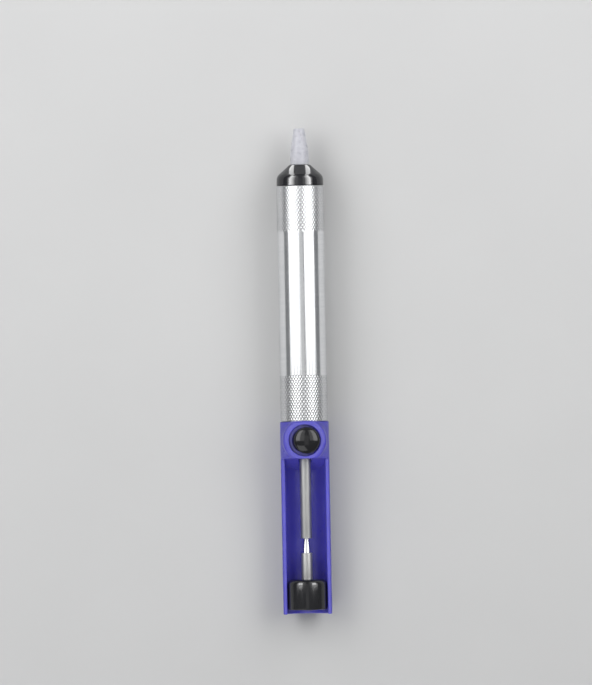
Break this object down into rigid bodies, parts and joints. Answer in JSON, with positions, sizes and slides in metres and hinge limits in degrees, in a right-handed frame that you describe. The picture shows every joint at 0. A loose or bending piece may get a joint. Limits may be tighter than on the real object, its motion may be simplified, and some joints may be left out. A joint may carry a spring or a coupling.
{
  "type": "desoldering pump",
  "caption": "Spring-loaded hand desoldering pump: aluminium barrel, tapered PTFE nozzle, plunger rod with thumb knob, release button and half-tube guard.",
  "frame": {"origin": "on the bench under the middle of the pump, which lies on its back", "axes": "+Y along the axis towards the nozzle, +Z out of the release button, +X to the right seen from the button side with the nozzle up"},
  "size_m": [0.0196, 0.195, 0.023],
  "materials": {
    "ptfe": "waxy white PTFE",
    "seal_rubber": "matt black nitrile rubber",
    "black_plastic": "gloss black moulding",
    "polished_aluminium": "polished, with diamond-knurled ends",
    "bright_steel": "bright zinc-plated steel",
    "spring_steel": "drawn spring wire",
    "brass": "turned brass",
    "white_acetal": "natural acetal",
    "satin_steel": "satin-turned rod",
    "blue_plastic": "gloss blue-violet moulding"
  },
  "bodies": {
    "housing": {"barrel": "polished_aluminium", "handle": "blue_plastic", "rod_guide_bush": "white_acetal", "rear_bumper": "seal_rubber", "main_spring": "spring_steel", "button_spring": "spring_steel"},
    "plunger": {"plunger_rod": "satin_steel", "knob": "black_plastic", "knob_insert": "brass", "piston": "white_acetal", "piston_o_ring": "seal_rubber", "piston_washer": "bright_steel", "piston_nut": "brass", "cleaning_pin": "bright_steel"},
    "button": {"push_button": "black_plastic", "latch_plate": "bright_steel"},
    "nose_carrier": {"nose_cap_o_ring": "seal_rubber", "spring_seat": "bright_steel"},
    "nose": {"nose_cap": "black_plastic", "nozzle": "ptfe", "nozzle_o_ring": "seal_rubber"}
  },
  "joints": [
    {"name": "plunger_slide", "type": "slide", "parent": "housing", "child": "plunger", "axis": [0, 1, 0], "range_m": [0, 0.042], "stiffness_N_per_m": 475, "springref_m": -0.02, "deforming": ["main_spring"]},
    {"name": "button_press", "type": "slide", "parent": "housing", "child": "button", "axis": [0, 0, -1], "range_m": [0, 0.0018], "stiffness_N_per_m": 900, "springref_m": -0.001, "deforming": ["button_spring"]},
    {"name": "nose_cap_travel", "type": "slide", "parent": "housing", "child": "nose_carrier", "axis": [0, 1, 0], "range_m": [0, 0.0031]},
    {"name": "nose_cap_turn", "type": "hinge", "parent": "nose_carrier", "child": "nose", "pos_m": [0, 0.0746, 0.0098], "axis": [0, 1, 0], "range_deg": [0, 720]}
  ],
  "couplings": [
    {"joint": "nose_cap_travel", "follows": "nose_cap_turn", "m_per_rad": 0.00023873}
  ]
}
